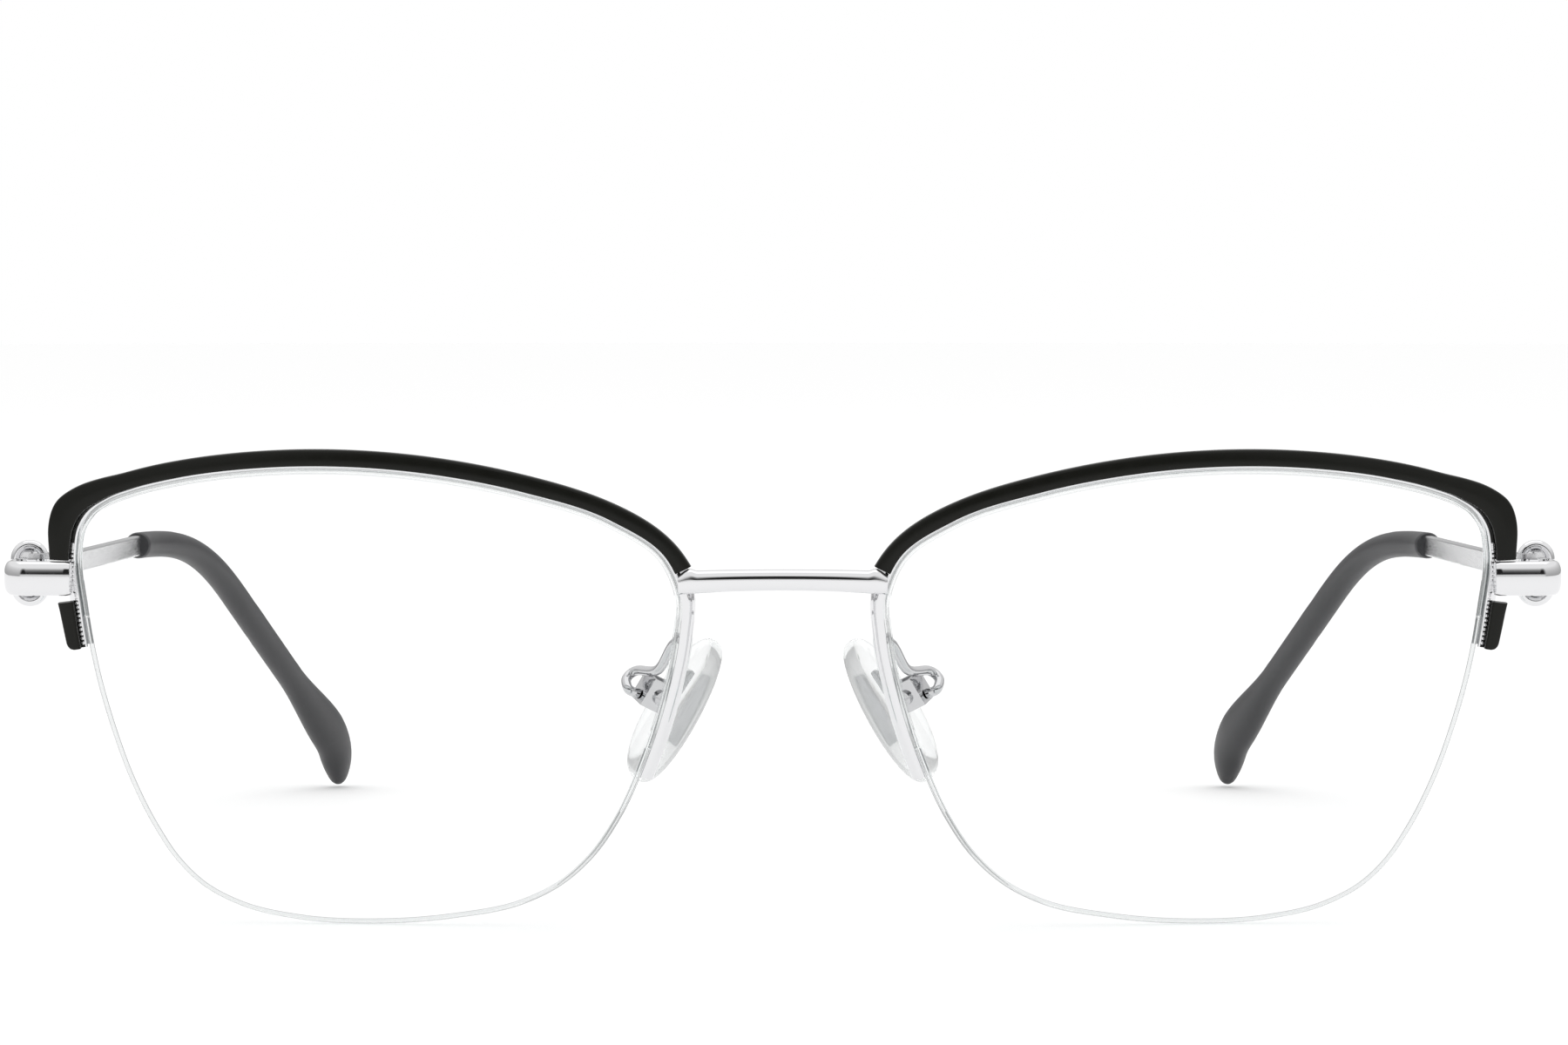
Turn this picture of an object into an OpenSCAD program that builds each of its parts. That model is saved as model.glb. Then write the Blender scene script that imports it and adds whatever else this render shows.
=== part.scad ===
// Browline glasses: metal half rims with an enamelled brow line, clear lenses held by a nylon cord.
// X runs to the right as seen from the front, Y to the back, Z up, and the glasses stand on Z = 0.
// Sizes are in millimetres and degrees. The wearer's left half lies on +X, the right half is its mirror.

/* [Lenses] */
// Width of one lens between its sides
lens_w = 54; // [50:0.5:58]
// Height of one lens
lens_h = 41; // [37:0.5:44]
// Gap between the two lenses over the nose
lens_gap = 19.4; // [17:0.1:22]
// Thickness of the lens
lens_t = 2; // [1.8:0.1:2.6]
// Radius of the lens's front face
lens_r = 110; // [95:1:150]
// Turn of each lens round the face
wrap = 5; // [2:0.5:7]
// Lean of the lenses, with the top forward
tilt = 7; // [4:0.5:10]

/* [Rims and brow] */
// Depth of the rim from front to back
rim_depth = 1.8; // [1.6:0.1:2.4]
// Height of the rim outside the lens edge
rim_out = 1.4; // [1.3:0.1:1.8]
// Gap between the lens edge and the lip of the rim
rim_lip = 0.3; // [0.2:0.05:0.4]
// Wall of the rim's channel
rim_wall = 0.35; // [0.3:0.05:0.45]
// Height of the brow bar's face
brow_w = 1.5; // [1.2:0.1:2]
// Extra height of the brow bar at its outer corner
brow_corner = 1.4; // [0.5:0.1:2]
// Thickness of the brow bar in front of the rim
brow_t = 0.75; // [0.5:0.05:1.2]
// How far the rim's outer end lies above the lens centre
rim_outer_end = 4.9; // [2:0.1:6]
// How far the rim's inner end lies below the lens centre
rim_inner_end = 6.5; // [4:0.1:9]
// Diameter of the nylon cord under the lens
cord_d = 0.6; // [0.5:0.05:0.7]

/* [Bridge] */
// Height of the bridge bar at its middle
bridge_h = 1.9; // [1.5:0.1:2.6]
// Thickness of the bridge bar from front to back
bridge_t = 1.5; // [1.2:0.1:2]
// How far the bridge bows forward
bridge_bow = 1; // [0:0.1:2.5]
// How far the bridge lies above the lens centre
bridge_rise = 10.9; // [9.5:0.1:12]

/* [End pieces and hinges] */
// How far each end piece stands out past the middle of the rim
end_reach = 6.2; // [5.5:0.1:8]
// Height of the end piece
end_h = 3.1; // [2.8:0.1:3.6]
// Thickness of the end piece
end_t = 1.5; // [1.3:0.1:1.7]
// How far the hinge lies above the lens centre
hinge_rise = 10.9; // [10:0.1:12]
// Distance from the end piece's front bar back to the hinge pin
hinge_reach = 5; // [4.5:0.1:7]
// Radius of the hinge barrels
barrel_r = 1.1; // [1:0.05:1.2]
// Radius of the hinge screw
screw_r = 0.6; // [0.5:0.05:0.65]
// Running gap round the hinge screw and between the barrels
hinge_gap = 0.05; // [0.03:0.01:0.08]

/* [Temples] */
// Distance from the hinge pin to the start of the plastic tip
arm_len = 76.5; // [70:0.5:84]
// Height of the slim part of the arm
arm_h = 1.7; // [1.5:0.1:2.2]
// Thickness of the arm
arm_t = 0.9; // [0.8:0.05:1.1]
// How far the arm closes in towards the head over its length
arm_close = 2.3; // [0:0.1:4]
// How far the arm falls over its length
arm_fall = 1.2; // [0:0.1:2.5]
// Width of the oval ring round the arm
ring_w = 3.5; // [3.1:0.1:4]
// Height of the oval ring round the arm
ring_h = 6.1; // [5.4:0.1:7]
// Thickness of the ring's wire
ring_d = 0.9; // [0.7:0.05:1]
// Distance from the hinge pin to the ring
ring_at = 5.6; // [5:0.1:9]
// Length of the plastic tip along its curve
tip_len = 66; // [60:1:70]
// Diameter of the plastic tip where the arm enters
tip_d = 2.7; // [2.5:0.05:3.2]
// Width of the tip's paddle
paddle_w = 5.2; // [4:0.1:6]
// Thickness of the tip's paddle
paddle_t = 3.5; // [3:0.1:4.2]
// Angle at which the tip drops behind the ear
tip_drop = 33; // [30:1:37]
// Angle at which the tip leans in towards the head
tip_lean = 18.5; // [15:0.5:22]

/* [Nose pads] */
// Length of a nose pad
pad_l = 14.5; // [13:0.5:16]
// Width of a nose pad
pad_w = 8.6; // [7.5:0.1:9.5]
// Thickness of a nose pad
pad_t = 2.1; // [1.8:0.1:2.6]
// Distance of each pad's centre from the middle of the nose
pad_x = 9.9; // [9.4:0.1:11.5]
// Distance of the pads' centre behind the bridge
pad_back = 10.4; // [9:0.1:12]
// Height of the pads' centre below the lens centre
pad_below = 1.3; // [0:0.1:3]
// Lean of the pads, with their tops together
pad_lean = 31; // [26:1:34]
// Splay of the pads, with their fronts together
pad_splay = 28; // [22:1:32]
// Thickness of the pad arm's wire
pad_wire_d = 0.9; // [0.8:0.05:1]

/* [Hidden] */

steel = "gainsboro";
enamel = "#20201d";
plastic = "#505054";
clear = "#dfe8ea";

// The lens outline as shares of half its width and height, from the outer side down and round
OUTLINE = [
    [1.00, 0.62], [0.98, 0.36], [0.94, 0.08], [0.89, -0.155], [0.827, -0.388], [0.74, -0.62], [0.68, -0.74],
    [0.59, -0.855], [0.46, -0.94], [0.27, -0.99], [0.01, -1.0], [-0.25, -0.97], [-0.48, -0.905],
    [-0.60, -0.825], [-0.71, -0.695], [-0.80, -0.52], [-0.89, -0.25], [-0.955, 0.02], [-0.995, 0.29],
    [-1.0, 0.445], [-0.95, 0.61], [-0.78, 0.77], [-0.50, 0.895], [-0.21, 0.97], [0.08, 1.0],
    [0.37, 0.987], [0.667, 0.928], [0.82, 0.873], [0.90, 0.83], [0.956, 0.775], [0.988, 0.71]];
KNOTS = len(OUTLINE);
lowest_knot = 10;
nose_knot = 19;

function knot(i) = let (k = OUTLINE[(i + KNOTS) % KNOTS]) [k.x * lens_w / 2, k.y * lens_h / 2];
function chord(i) = norm(knot(i + 1) - knot(i));
function knot_slope(i) = let (a = chord(i - 1), b = chord(i))
    ((knot(i + 1) - knot(i)) * a / b + (knot(i) - knot(i - 1)) * b / a) / (a + b);

// A smooth closed curve through the knots: s counts knots and may lie between two of them
function edge(s) = let (i = floor(s), f = s - i, g = 1 - f, c = chord(i))
    knot(i) * (1 + 2 * f) * g * g + knot_slope(i) * c * f * g * g
    + knot(i + 1) * f * f * (3 - 2 * f) - knot_slope(i + 1) * c * f * f * g;
function heading(s) = let (i = floor(s), f = s - i, g = 1 - f, c = chord(i),
    d = (knot(i + 1) - knot(i)) * 6 * f * g
    + knot_slope(i) * c * g * (1 - 3 * f) + knot_slope(i + 1) * c * f * (3 * f - 2)) d / norm(d);
function outward(s) = let (d = heading(s)) [-d.y, d.x];
// Lens face: depth behind the middle of the front face, on a shell that lies h behind that face
function dome(p, h) = lens_r - sqrt((lens_r - h) * (lens_r - h) - p.x * p.x - p.y * p.y);
function turned(p) = [p.x * cos(wrap) - p.y * sin(wrap), p.x * sin(wrap) + p.y * cos(wrap), p.z];
function leaned(p) = [p.x, p.y * cos(tilt) - p.z * sin(tilt), p.y * sin(tilt) + p.z * cos(tilt)];
lens_x = lens_gap / 2 + lens_w / 2 * cos(wrap);
function shell_point(p, h) = leaned(turned([p.x, dome(p, h), p.y]));
cord_r = cord_d / 2;
lens_mid = lens_t / 2;
lens_z = cord_r - min([for (i = [0 : 12]) shell_point(edge(lowest_knot - 1.5 + i / 4), lens_mid).z]);
lens_pos = [lens_x, 0, lens_z];

// A point d outside the lens edge at s and h behind the lens's front face
function at_edge(s, d, h) = lens_pos + shell_point(edge(s) + d * outward(s), h);

// Where between two knots the lens edge lies at a height over the lens centre
function edge_rise(s) = shell_point(edge(s), lens_mid).z;
function edge_at(rise, lo, hi, steps = 18) = let (mid = (lo + hi) / 2)
    steps == 0 ? mid
    : (edge_rise(mid) > rise) == (edge_rise(lo) > rise) ? edge_at(rise, mid, hi, steps - 1)
    : edge_at(rise, lo, mid, steps - 1);

// Blend from 0 to 1 with level ends
function ease(f) = let (g = min(1, max(0, f))) g * g * (3 - 2 * g);
function along(from, to, f) = from + (to - from) * f;
function cumulate(list, i = 0, sum = 0, out = []) =
    i == len(list) ? out : cumulate(list, i + 1, sum + list[i], concat(out, [sum + list[i]]));

// Skin over rings of points, closed at both ends
module skin(rings) {
    n = len(rings[0]);
    last = len(rings) - 1;
    faces = concat(
        [[for (j = [n - 1 : -1 : 0]) j], [for (j = [0 : n - 1]) last * n + j]],
        [for (i = [0 : last - 1], j = [0 : n - 1]) [i * n + j, (i + 1) * n + (j + 1) % n, (i + 1) * n + j]],
        [for (i = [0 : last - 1], j = [0 : n - 1]) [i * n + j, i * n + (j + 1) % n, (i + 1) * n + (j + 1) % n]]);
    polyhedron(points = [for (ring = rings, p = ring) p], faces = faces, convexity = 10);
}

// Cross-sections are lists of [outward or sideways, backward or upward] points
function oval(n, a, b, power = 1) = [for (j = [0 : n - 1]) let (t = 360 * (j + 0.5) / n)
    [a * sign(cos(t)) * pow(abs(cos(t)), power), b * sign(sin(t)) * pow(abs(sin(t)), power)]];
function chamfered(a, b, c) =
    [[a, c - b], [a, b - c], [a - c, b], [c - a, b], [-a, b - c], [-a, c - b], [c - a, -b], [a - c, -b]];

// A ring across a path at p: u is the section's first direction, v its second
function across(p, u, v, section) = [for (q = section) p + q.x * u + q.y * v];
function unit(v) = v / norm(v);
function stations(n) = [for (i = [0 : n]) i / n];

// A strip that follows the lens edge from s0 to s1 with a section that may change along it
function edge_ring(s, section) = [for (q = section) at_edge(s, q.x, q.y)];

// Rim: a channel that opens towards the lens
rim_front = lens_mid - rim_depth / 2;
rim_back = lens_mid + rim_depth / 2;
channel_front = rim_front + rim_wall;
channel_back = rim_back - rim_wall;
channel_floor = rim_out - rim_wall;
rim_bevel = 0.5;
rim_round = 0.25;
rim_section = [
    [rim_out, rim_front + rim_bevel], [rim_out, rim_back - rim_round], [rim_out - rim_round, rim_back],
    [rim_lip, rim_back], [rim_lip, channel_back], [channel_floor, channel_back],
    [channel_floor, channel_front], [rim_lip, channel_front], [rim_lip, rim_front],
    [rim_out - rim_bevel, rim_front]];
rim_start = edge_at(-rim_inner_end, lowest_knot + 4, nose_knot - 1);
rim_end = edge_at(rim_outer_end, KNOTS, KNOTS + 3);
module rim() {
    color(steel) skin([for (f = stations(56)) edge_ring(along(rim_start, rim_end, f), rim_section)]);
}

// Clear liner: its body fills the rim's channel and its tongue sits in the lens groove
fit = 0.05;
tongue = cord_r - 0.06;
liner_section = [
    [channel_floor - fit, channel_front + fit], [channel_floor - fit, channel_back - fit],
    [fit, channel_back - fit], [fit, lens_mid + tongue], [-tongue, lens_mid + tongue],
    [-tongue, lens_mid - tongue], [fit, lens_mid - tongue], [fit, channel_front + fit]];
cord_tuck = 0.45;
module lens_liner() {
    from = rim_start + cord_tuck;
    to = rim_end - cord_tuck;
    color(clear) skin([for (f = stations(44)) edge_ring(along(from, to, f), liner_section)]);
}

// Nylon cord: it runs under the lens in the groove, from one end of the liner to the other
module lens_cord() {
    gap = 0.03;
    from = rim_end - KNOTS - cord_tuck + gap;
    to = rim_start + cord_tuck - gap;
    corner = cord_r / cos(22.5);
    section = [for (q = oval(8, corner, corner)) q + [0, lens_mid]];
    color(clear) skin([for (f = stations(44)) edge_ring(along(from, to, f), section)]);
}

// Lens: the outline between two spheres, with a groove round its edge
lens_facets = 120;
sphere_facets = 240;
groove = cord_r + 0.03;
module lens_slice(grow) {
    outline = [for (i = [0 : lens_facets - 1]) let (s = KNOTS * i / lens_facets) edge(s) + grow * outward(s)];
    rotate([90, 0, 0]) linear_extrude(height = 40, center = true) polygon(outline);
}
module lens_shell(from, to) {
    translate([0, lens_r, 0]) difference() {
        sphere(r = lens_r - from, $fn = sphere_facets);
        sphere(r = lens_r - to, $fn = sphere_facets);
    }
}
module lens() {
    color(clear) translate(lens_pos) rotate([tilt, 0, 0]) rotate([0, 0, wrap]) difference() {
        intersection() {
            lens_slice(0);
            lens_shell(0, lens_t);
        }
        intersection() {
            difference() {
                lens_slice(1);
                lens_slice(-groove);
            }
            lens_shell(lens_mid - groove, lens_mid + groove);
        }
    }
}

// Brow bar: a thin enamelled bar on the front of the rim, tallest at its outer corner
brow_in = 0.55;
brow_step = 0.28;
brow_peak = 29.5;
brow_seat = rim_front - 0.03;
brow_edge = 0.22;
function brow_inner(s) = brow_in + brow_step * ease((s - brow_peak + 1.5) / 1.5);
function brow_swell(s) = s < brow_peak ? pow(max(0, 1 - (brow_peak - s) / 2.5), 1.5)
    : 1 - pow(ease((s - brow_peak) / 3.4), 0.8);
function brow_outer(s) = brow_in + brow_w + brow_corner * brow_swell(s);
function brow_section(in, out) = let (face = brow_seat - brow_t) [
    [out, brow_seat - brow_edge * 0.5], [out, brow_seat], [in, brow_seat], [in, face + brow_edge],
    [in + brow_edge, face], [(in + out) / 2, face - 0.05], [out - brow_edge, face],
    [out, face + brow_edge]];
module brow_strip(marks, cut) {
    color(enamel) skin([for (i = [0 : len(marks) - 1]) let (s = marks[i])
        edge_ring(s, brow_section(brow_inner(s), brow_outer(s) - cut[i]))]);
}

// Heights at which the end piece and the bridge interrupt the brow line
hinge_s = edge_at(hinge_rise, KNOTS - 1, KNOTS + 2);
hinge_z = lens_pos.z + hinge_rise;
bridge_s = edge_at(bridge_rise, nose_knot - 1, nose_knot + 2);
bridge_z = lens_pos.z + bridge_rise;
brow_gap = 0.22;
brow_upper_end = edge_at(hinge_rise + end_h / 2 + brow_gap, KNOTS - 1, KNOTS + 2);
brow_lower_start = edge_at(hinge_rise - end_h / 2 - brow_gap, KNOTS - 1, KNOTS + 2);
brow_nose_start = edge_at(bridge_rise + bridge_h / 2 - 0.33, nose_knot - 0.5, nose_knot + 2);
module brow_bar() {
    marks = [for (f = stations(56)) along(brow_nose_start, brow_upper_end, f)];
    brow_strip(marks, [for (s = marks) 0]);
}
// The lower piece ends in a rounded outer corner
module brow_end() {
    round_r = 0.55;
    shares = [0, 0.3, 0.6, 0.84, 0.89, 0.93, 0.965, 0.99, 1];
    marks = [for (f = shares) along(brow_lower_start, rim_end, f)];
    cut = [for (f = shares) let (g = max(0, f - 0.84) / 0.16) round_r * (1 - sqrt(max(0, 1 - g * g)))];
    brow_strip(marks, cut);
}

// Bridge: a bowed bar that laps over the front of both rims
bridge_seat = at_edge(bridge_s, (rim_lip + rim_out) / 2, rim_front);
bridge_end_x = bridge_seat.x + 0.35;
bridge_flare = 0.18;
bridge_drop = 0.32;
bridge_lift = 0.02;
function bridge_ring(x) = let (f = abs(x) / bridge_end_x,
    fillet = bridge_flare * max(0, 1 - abs(f - 0.885) / 0.055),
    top = bridge_h / 2 + fillet - bridge_drop * ease((f - 0.93) / 0.07),
    low = bridge_h / 2 * (1 + 0.22 * f * f),
    y = bridge_seat.y - bridge_t / 2 - bridge_lift - bridge_bow * (1 - f * f),
    z = bridge_z + 0.2 * (1 - f * f))
    [for (q = oval(12, bridge_t / 2, 1, 0.7)) [x, y - q.x, z + (q.y > 0 ? q.y * top : q.y * low)]];
bridge_ends = [0.83, 0.885, 0.94, 0.97, 1];
bridge_marks = concat([for (f = [4 : -1 : 0]) -bridge_ends[f]], [for (i = [-7 : 7]) 0.1 * i], bridge_ends);
module bridge() {
    color(steel) skin([for (f = bridge_marks) bridge_ring(bridge_end_x * f)]);
}

// End piece: a rounded bar in front of the rim that turns back to the hinge
end_foot = at_edge(hinge_s, 0.8, rim_front);
end_front_y = end_foot.y - end_t / 2 - 0.02;
end_out_x = end_foot.x + end_reach;
leg_x = end_out_x - end_t / 2;
leg_inner_x = end_out_x - end_t;
hinge_x = leg_inner_x - barrel_r - 0.12;
hinge_y = end_front_y + hinge_reach;
butt_y = hinge_y - 0.2;
corner_r = 1.3;
corner_steps = 8;
end_path = concat(
    [for (f = stations(5)) let (x = along(end_foot.x, leg_x - corner_r, f))
        [x, end_front_y + 0.12 * (x - end_foot.x), 90 - 7 * (1 - f)]],
    [for (i = [1 : corner_steps]) let (t = 90 * i / corner_steps)
        [leg_x - corner_r + corner_r * sin(t),
        end_front_y + 0.12 * (leg_x - corner_r - end_foot.x) + corner_r * (1 - cos(t)), 90 - t]],
    [[leg_x, butt_y, 0]]);
module end_piece() {
    section = oval(14, end_t / 2, end_h / 2, 0.55);
    color(steel) skin([for (p = end_path)
        across([p.x, p.y, hinge_z], [cos(p.z), -sin(p.z), 0], [0, 0, 1], section)]);
}

// Hinge: two barrels on the front leaf, one on the rear leaf, and a screw through all three
barrel_h = end_h / 3 - hinge_gap;
bore_r = screw_r + hinge_gap;
function level_z(level) = hinge_z - end_h / 2 + level * end_h / 3 + hinge_gap / 2;
module barrel(level, web, to_y) {
    difference() {
        union() {
            translate([hinge_x, hinge_y, level_z(level)]) cylinder(r = barrel_r, h = barrel_h, $fn = 48);
            translate([hinge_x, min(hinge_y, to_y), level_z(level)]) cube([web, abs(to_y - hinge_y), barrel_h]);
        }
        translate([hinge_x, hinge_y, level_z(level) - 1]) cylinder(r = bore_r, h = barrel_h + 2, $fn = 48);
    }
}
module front_hinge_leaf() {
    web = leg_inner_x - hinge_x;
    color(steel) {
        barrel(0, web, butt_y - 1.6);
        barrel(2, web, butt_y - 1.6);
        translate([leg_inner_x - 0.5, butt_y - 1.6, level_z(0)]) cube([0.5, 0.45, end_h - hinge_gap]);
    }
}
head_r = 0.95;
head_h = 0.45;
module hinge_screw() {
    low = hinge_z - end_h / 2;
    color(steel) translate([hinge_x, hinge_y, 0]) difference() {
        union() {
            translate([0, 0, low]) cylinder(r = screw_r, h = end_h, $fn = 48);
            translate([0, 0, level_z(2) + barrel_h]) cylinder(r = head_r, h = head_h, $fn = 48);
        }
        translate([-1, -0.14, level_z(2) + barrel_h + head_h - 0.25]) cube([2, 0.28, 1]);
    }
}

// Temple arm: a thin upright blade that swells round the ring and thins towards the tip
arm_x0 = leg_inner_x + arm_t / 2;
function arm_centre(y) = let (f = y / arm_len) [arm_x0 - arm_close * f, hinge_y + y, hinge_z - arm_fall * f];
arm_dir = unit([-arm_close, arm_len, -arm_fall]);
arm_side = unit([arm_dir.y, -arm_dir.x, 0]);
arm_up = cross(arm_side, arm_dir);
ring_inner_h = ring_h - 2 * ring_d;
swell_len = 2.6;
taper_len = 17;
function arm_half_h(y) = y < ring_at
    ? along(end_h, ring_inner_h, ease((y - ring_at + 4.2) / 3.6)) / 2
    : along(ring_inner_h, arm_h, ease((y - ring_at - 0.6) / taper_len)) / 2;
tang_len = 3;
tang_r = 0.55;
seat_gap = 0.03;
module along_arm(y) {
    translate(arm_centre(y)) rotate([-acos(arm_dir.z), 0, atan2(-arm_dir.x, arm_dir.y)]) children();
}
module temple_arm() {
    from = butt_y - hinge_y + 0.1;
    marks = concat([from, 0.9, 1.8, 2.7, 3.6, 4.6, ring_at - 0.5, ring_at + 0.5],
        [for (i = [1 : 9]) ring_at + 0.6 + taper_len * i / 9], [arm_len / 2, arm_len]);
    color(steel) {
        skin([for (y = marks) across(arm_centre(y), arm_side, arm_up,
            chamfered(arm_t / 2, arm_half_h(y) - 0.01, 0.22))]);
        along_arm(arm_len - 0.5) cylinder(r = tang_r, h = tang_len + 0.5, $fn = 32);
    }
}
arm_angle = atan2(arm_close, arm_len);
module rear_hinge_leaf() {
    web = (arm_x0 - hinge_x) * cos(arm_angle) - arm_t / 2 - 0.01;
    plate_h = 2.2;
    plate_t = 0.45;
    color(steel) translate([hinge_x, hinge_y, 0]) rotate([0, 0, arm_angle]) translate([-hinge_x, -hinge_y, 0]) {
        barrel(1, web, hinge_y + 1.5);
        translate([hinge_x + web - plate_t, hinge_y + 1.25, hinge_z - plate_h / 2]) cube([plate_t, 3, plate_h]);
    }
}

// Oval ring: two half hoops and two straight sides, round the swollen part of the arm
module temple_ring() {
    wire_r = ring_d / 2;
    hoop_r = ring_w / 2 - wire_r;
    straight = ring_h - ring_w;
    color(steel) translate(arm_centre(ring_at)) rotate([90, 0, 0]) {
        for (side = [-1, 1]) {
            translate([0, side * straight / 2, 0]) rotate([0, 0, side > 0 ? 0 : 180])
                rotate_extrude(angle = 180, $fn = 64) translate([hoop_r, 0]) circle(r = wire_r, $fn = 32);
            translate([side * hoop_r, -straight / 2, 0]) rotate([-90, 0, 0])
                cylinder(r = wire_r, h = straight, $fn = 32);
        }
    }
}

// Plastic tip: it carries on from the arm, then bends down behind the ear and leans in
tip_steps = 34;
tip_seg = tip_len / tip_steps;
bend_at = 3;
bend_len = 25.5;
hook_len = 10;
function tip_fall(d) = 1 + (tip_drop - 1) * ease((d - bend_at) / bend_len)
    + 26 * ease((d - tip_len + hook_len) / hook_len);
function tip_in(d) = 2 + (tip_lean - 2) * ease((d + 4) / 11)
    - 18 * ease((d - tip_len + hook_len) / hook_len);
function tip_step(i) = let (d = (i + 0.5) * tip_seg, a = tip_fall(d), b = tip_in(d))
    tip_seg * [-sin(b) * cos(a), cos(b) * cos(a), -sin(a)];
tip_start = arm_centre(arm_len + seat_gap);
tip_path = concat([[0, 0, 0]], cumulate([for (i = [0 : tip_steps - 1]) tip_step(i)], sum = [0, 0, 0]));
tip_end_r = 0.6;
tip_stretch = (tip_start.z - tip_end_r) / -tip_path[tip_steps].z;
function tip_point(i) = let (p = tip_path[min(tip_steps, max(0, i))])
    tip_start + [p.x, p.y, p.z * tip_stretch];
function tip_half_w(d) = let (f = ease((d - 12) / 20), g = ease((d - tip_len + 26) / 17))
    along(along(tip_d, 3, f), paddle_w, g) / 2;
function tip_half_t(d) = let (g = ease((d - tip_len + 26) / 17)) along(tip_d, paddle_t, g) / 2;
function tip_round(d) = let (f = max(0, (d - tip_len + 5) / 5.01)) sqrt(1 - f * f);
function tip_ring(i) = let (d = i * tip_seg, dir = unit(tip_point(i + 1) - tip_point(i - 1)),
    side = unit(cross(dir, [0, 0, 1])), r = tip_round(d))
    across(tip_point(i), side, cross(side, dir), oval(14, r * tip_half_t(d), r * tip_half_w(d), 0.9));
module temple_tip() {
    color(plastic) difference() {
        skin([for (i = [0 : tip_steps]) tip_ring(i)]);
        along_arm(arm_len - 1) cylinder(r = tang_r + fit, h = tang_len + 1 + fit, $fn = 32);
    }
}

// Nose pads: the pad's own frame has its outer face towards +X and its length along Z
pad_pos = [pad_x, bridge_seat.y + pad_back, lens_z - pad_below];
module at_pad() {
    translate(pad_pos) rotate([4, 0, 0]) rotate([0, -pad_lean, 0]) rotate([0, 0, -pad_splay]) children();
}
module at_core() {
    at_pad() translate([0, 0, core_up]) children();
}
function about_z(p, a) = [p.x * cos(a) - p.y * sin(a), p.x * sin(a) + p.y * cos(a), p.z];
function about_y(p, a) = [p.x * cos(a) + p.z * sin(a), p.y, p.z * cos(a) - p.x * sin(a)];
function about_x(p, a) = [p.x, p.y * cos(a) - p.z * sin(a), p.y * sin(a) + p.z * cos(a)];
function pad_to_front(p) = pad_pos + about_x(about_y(about_z(p + [0, 0, core_up], -pad_splay), -pad_lean), 4);

core_t = 0.5;
core_l = 6.4;
core_w = 2.8;
boss_r = 1.05;
boss_w = 1.4;
boss_x = 2.6;
core_up = 0.6;
module core_solid(grow) {
    translate([core_t / 2 - 0.1, 0, 0]) rotate([0, 90, 0])
        linear_extrude(height = core_t + 2 * grow, center = true)
            square([core_l + 2 * grow, core_w + 2 * grow], center = true);
    translate([0, -boss_w / 2 - grow, -boss_r - grow]) cube([boss_x, boss_w + 2 * grow, 2 * boss_r + 2 * grow]);
    translate([boss_x, 0, 0]) rotate([90, 0, 0])
        cylinder(r = boss_r + grow, h = boss_w + 2 * grow, center = true, $fn = 40);
}
pad_screw_r = 0.4;
module pad_core() {
    color(steel) at_core() difference() {
        core_solid(0);
        translate([boss_x, 0, 0]) rotate([90, 0, 0]) cylinder(r = pad_screw_r + fit, h = 6, center = true, $fn = 40);
    }
}
pad_rings = 12;
module nose_pad() {
    color(clear) at_pad() difference() {
        skin([for (i = [0 : pad_rings]) let (t = 174 * (i / pad_rings) - 87, r = cos(t))
            [for (q = oval(16, pad_t / 2 * pow(r, 0.8), pad_w / 2 * pow(r, 0.75) * (1 - 0.1 * sin(t)), 0.9))
                [q.x - 0.12 * pad_t * (1 - r), -q.y, pad_l / 2 * sin(t) / sin(87)]]]);
        translate([0, 0, core_up]) core_solid(fit);
    }
}
box_wall = 0.4;
box_in = boss_w / 2 + fit;
box_back = boss_x + boss_r + fit;
box_h = 2.7;
module pad_box() {
    color(steel) at_core() difference() {
        union() {
            for (side = [-1, 1])
                translate([1.25, side > 0 ? box_in : -box_in - box_wall, -box_h / 2])
                    cube([box_back - 1.25, box_wall, box_h]);
            translate([box_back, -box_in - box_wall, -box_h / 2])
                cube([box_wall, 2 * (box_in + box_wall), box_h]);
        }
        translate([boss_x, 0, 0]) rotate([90, 0, 0]) cylinder(r = pad_screw_r + fit, h = 6, center = true, $fn = 40);
    }
}
module pad_screw() {
    reach = box_in + box_wall;
    color(steel) at_core() translate([boss_x, 0, 0]) rotate([90, 0, 0]) difference() {
        union() {
            translate([0, 0, -reach]) cylinder(r = pad_screw_r, h = 2 * reach, $fn = 40);
            translate([0, 0, reach]) cylinder(r = 0.7, h = 0.35, $fn = 40);
        }
        translate([-1, -0.1, reach + 0.2]) cube([2, 0.2, 1]);
    }
}

// Pad arm: a wire from the back of the rim that loops round to the back of the pad box
pad_arm_s = edge_at(5.6, nose_knot - 4, nose_knot);
pad_arm_foot = at_edge(pad_arm_s, 0.8, rim_back + 0.06);
pad_arm_end = pad_to_front([box_back + box_wall + 0.1, 0, -0.7]);
pad_arm_knots = [
    pad_arm_foot,
    pad_arm_foot + [0.1, 1.1, 0],
    pad_arm_foot + [1.3, 2.6, -0.6],
    pad_arm_foot + [2.7, 4.6, -3],
    pad_arm_end + [0.15, 0.55, 2],
    pad_arm_end + [1.05, 0.4, 1.3],
    pad_arm_end + [0.85, -0.45, 0.42],
    pad_arm_end];
function spline3(list, t) = let (n = len(list) - 1, i = min(n - 1, floor(t)), f = t - i,
    p0 = list[max(0, i - 1)], p1 = list[i], p2 = list[i + 1], p3 = list[min(n, i + 2)])
    0.5 * (2 * p1 + (p2 - p0) * f + (2 * p0 - 5 * p1 + 4 * p2 - p3) * f * f
    + (3 * p1 - p0 - 3 * p2 + p3) * f * f * f);
function wire_ring(list, t, r, n) = let (last = len(list) - 1,
    dir = unit(spline3(list, min(last, t + 0.02)) - spline3(list, max(0, t - 0.02))),
    side = unit(cross(dir, [1, 0.2, -0.3])))
    across(spline3(list, t), side, cross(side, dir), oval(n, r, r));
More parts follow.
